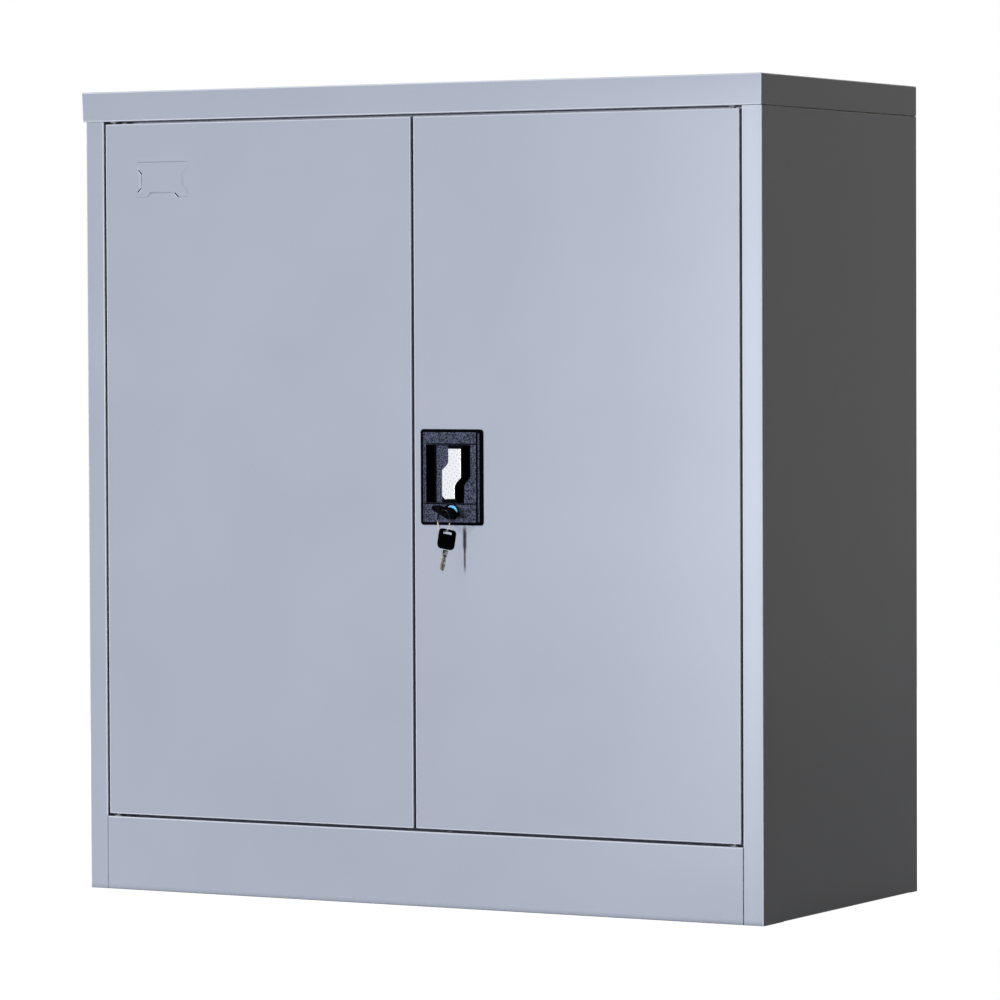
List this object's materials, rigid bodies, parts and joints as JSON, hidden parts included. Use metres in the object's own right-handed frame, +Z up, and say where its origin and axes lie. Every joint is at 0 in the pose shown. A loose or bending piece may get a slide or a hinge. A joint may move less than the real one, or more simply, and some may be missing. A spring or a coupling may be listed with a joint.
{
  "type": "steel storage cupboard",
  "caption": "Half-height folded-steel storage cupboard with hinged pan doors, adjustable shelves, a sliding latch handle that throws rods up and down, and a key lock.",
  "frame": {"origin": "on the floor, in the middle of the front face of the body, where the kick plate meets the floor", "axes": "+Z up, +X to the right of someone facing the doors, +Y from the front to the back; the doors face -Y"},
  "size_m": [0.8559, 0.4292, 0.9],
  "materials": {
    "powder_coat": "fine-grained semi-matt grey-blue powder coat on sheet steel",
    "zinc": "bright zinc plate",
    "chrome": "polished chrome plate",
    "black_plastic": "spark-textured moulded plastic",
    "nylon": "natural nylon",
    "rubber": "matt moulded rubber"
  },
  "bodies": {
    "cabinet": {"top_cap": "powder_coat", "left_side_panel": "powder_coat", "right_side_panel": "powder_coat", "kick_plate": "powder_coat", "floor_panel": "powder_coat", "header_rail": "powder_coat", "back_panel": "powder_coat", "front_left_upright": "powder_coat", "rear_left_upright": "powder_coat", "front_right_upright": "powder_coat", "rear_right_upright": "powder_coat", "lower_shelf": "powder_coat", "upper_shelf": "powder_coat", "lower_front_left_shelf_clip": "zinc", "lower_rear_left_shelf_clip": "zinc", "lower_front_right_shelf_clip": "zinc", "lower_rear_right_shelf_clip": "zinc", "upper_front_left_shelf_clip": "zinc", "upper_rear_left_shelf_clip": "zinc", "upper_front_right_shelf_clip": "zinc", "upper_rear_right_shelf_clip": "zinc", "upper_left_buffer": "rubber", "upper_right_buffer": "rubber", "lower_left_buffer": "rubber", "lower_right_buffer": "rubber", "upper_left_pivot_bush": "nylon", "lower_left_pivot_bush": "nylon", "upper_right_pivot_bush": "nylon", "lower_right_pivot_bush": "nylon"},
    "left_leaf": {"left_door": "powder_coat", "left_door_channel": "powder_coat", "upper_left_pivot_pin": "zinc", "lower_left_pivot_pin": "zinc"},
    "right_leaf": {"right_door": "powder_coat", "right_door_channel": "powder_coat", "upper_right_pivot_pin": "zinc", "lower_right_pivot_pin": "zinc", "lock_housing": "black_plastic", "lock_cover": "black_plastic", "lock_barrel": "chrome", "cam_pivot": "zinc", "upper_rod_guide": "zinc", "lower_rod_guide": "zinc"},
    "handle": {"handle_grip": "black_plastic", "handle_insert": "chrome"},
    "cam": {"latch_cam": "zinc"},
    "rod_up": {"upper_rod": "zinc"},
    "rod_down": {"lower_rod": "zinc"},
    "key": {"lock_plug": "chrome", "lock_tongue": "zinc", "lock_key_bow": "black_plastic", "lock_key_blade": "zinc"},
    "ring": {"key_ring": "zinc"},
    "spare_key": {"spare_key_bow": "black_plastic", "spare_key_blade": "zinc"}
  },
  "joints": [
    {"name": "left_door_hinge", "type": "hinge", "parent": "cabinet", "child": "left_leaf", "pos_m": [-0.3895, 0.0055, 0.4745], "axis": [0, 0, -1], "range_deg": [0, 110]},
    {"name": "right_door_hinge", "type": "hinge", "parent": "cabinet", "child": "right_leaf", "pos_m": [0.3895, 0.0055, 0.4745], "axis": [0, 0, 1], "range_deg": [0, 110]},
    {"name": "handle_slide", "type": "slide", "parent": "right_leaf", "child": "handle", "axis": [-1, 0, 0], "range_m": [0, 0.01]},
    {"name": "cam_turn", "type": "hinge", "parent": "right_leaf", "child": "cam", "pos_m": [0.055, 0.0123, 0.466], "axis": [0, -1, 0], "range_deg": [0, 31.3]},
    {"name": "upper_rod_slide", "type": "slide", "parent": "right_leaf", "child": "rod_up", "axis": [0, 0, 1], "range_m": [0, 0.0119]},
    {"name": "lower_rod_slide", "type": "slide", "parent": "right_leaf", "child": "rod_down", "axis": [0, 0, -1], "range_m": [0, 0.0119]},
    {"name": "key_turn", "type": "hinge", "parent": "right_leaf", "child": "key", "pos_m": [0.0495, -0.0044, 0.433], "axis": [0, -1, 0], "range_deg": [0, 90]},
    {"name": "ring_turn", "type": "hinge", "parent": "key", "child": "ring", "pos_m": [0.05427, -0.0278, 0.42412], "axis": [-0.4384, -0.8988, 0], "range_deg": [-30, 30]},
    {"name": "spare_key_swing", "type": "hinge", "parent": "ring", "child": "spare_key", "pos_m": [0.05427, -0.0278, 0.41232], "axis": [0.8988, -0.4384, 0], "range_deg": [-30, 25]}
  ],
  "couplings": [
    {"joint": "cam_turn", "follows": "handle_slide", "rad_per_m": 54.564},
    {"joint": "upper_rod_slide", "follows": "handle_slide", "ratio": 1.1855},
    {"joint": "lower_rod_slide", "follows": "handle_slide", "ratio": 1.1855}
  ]
}
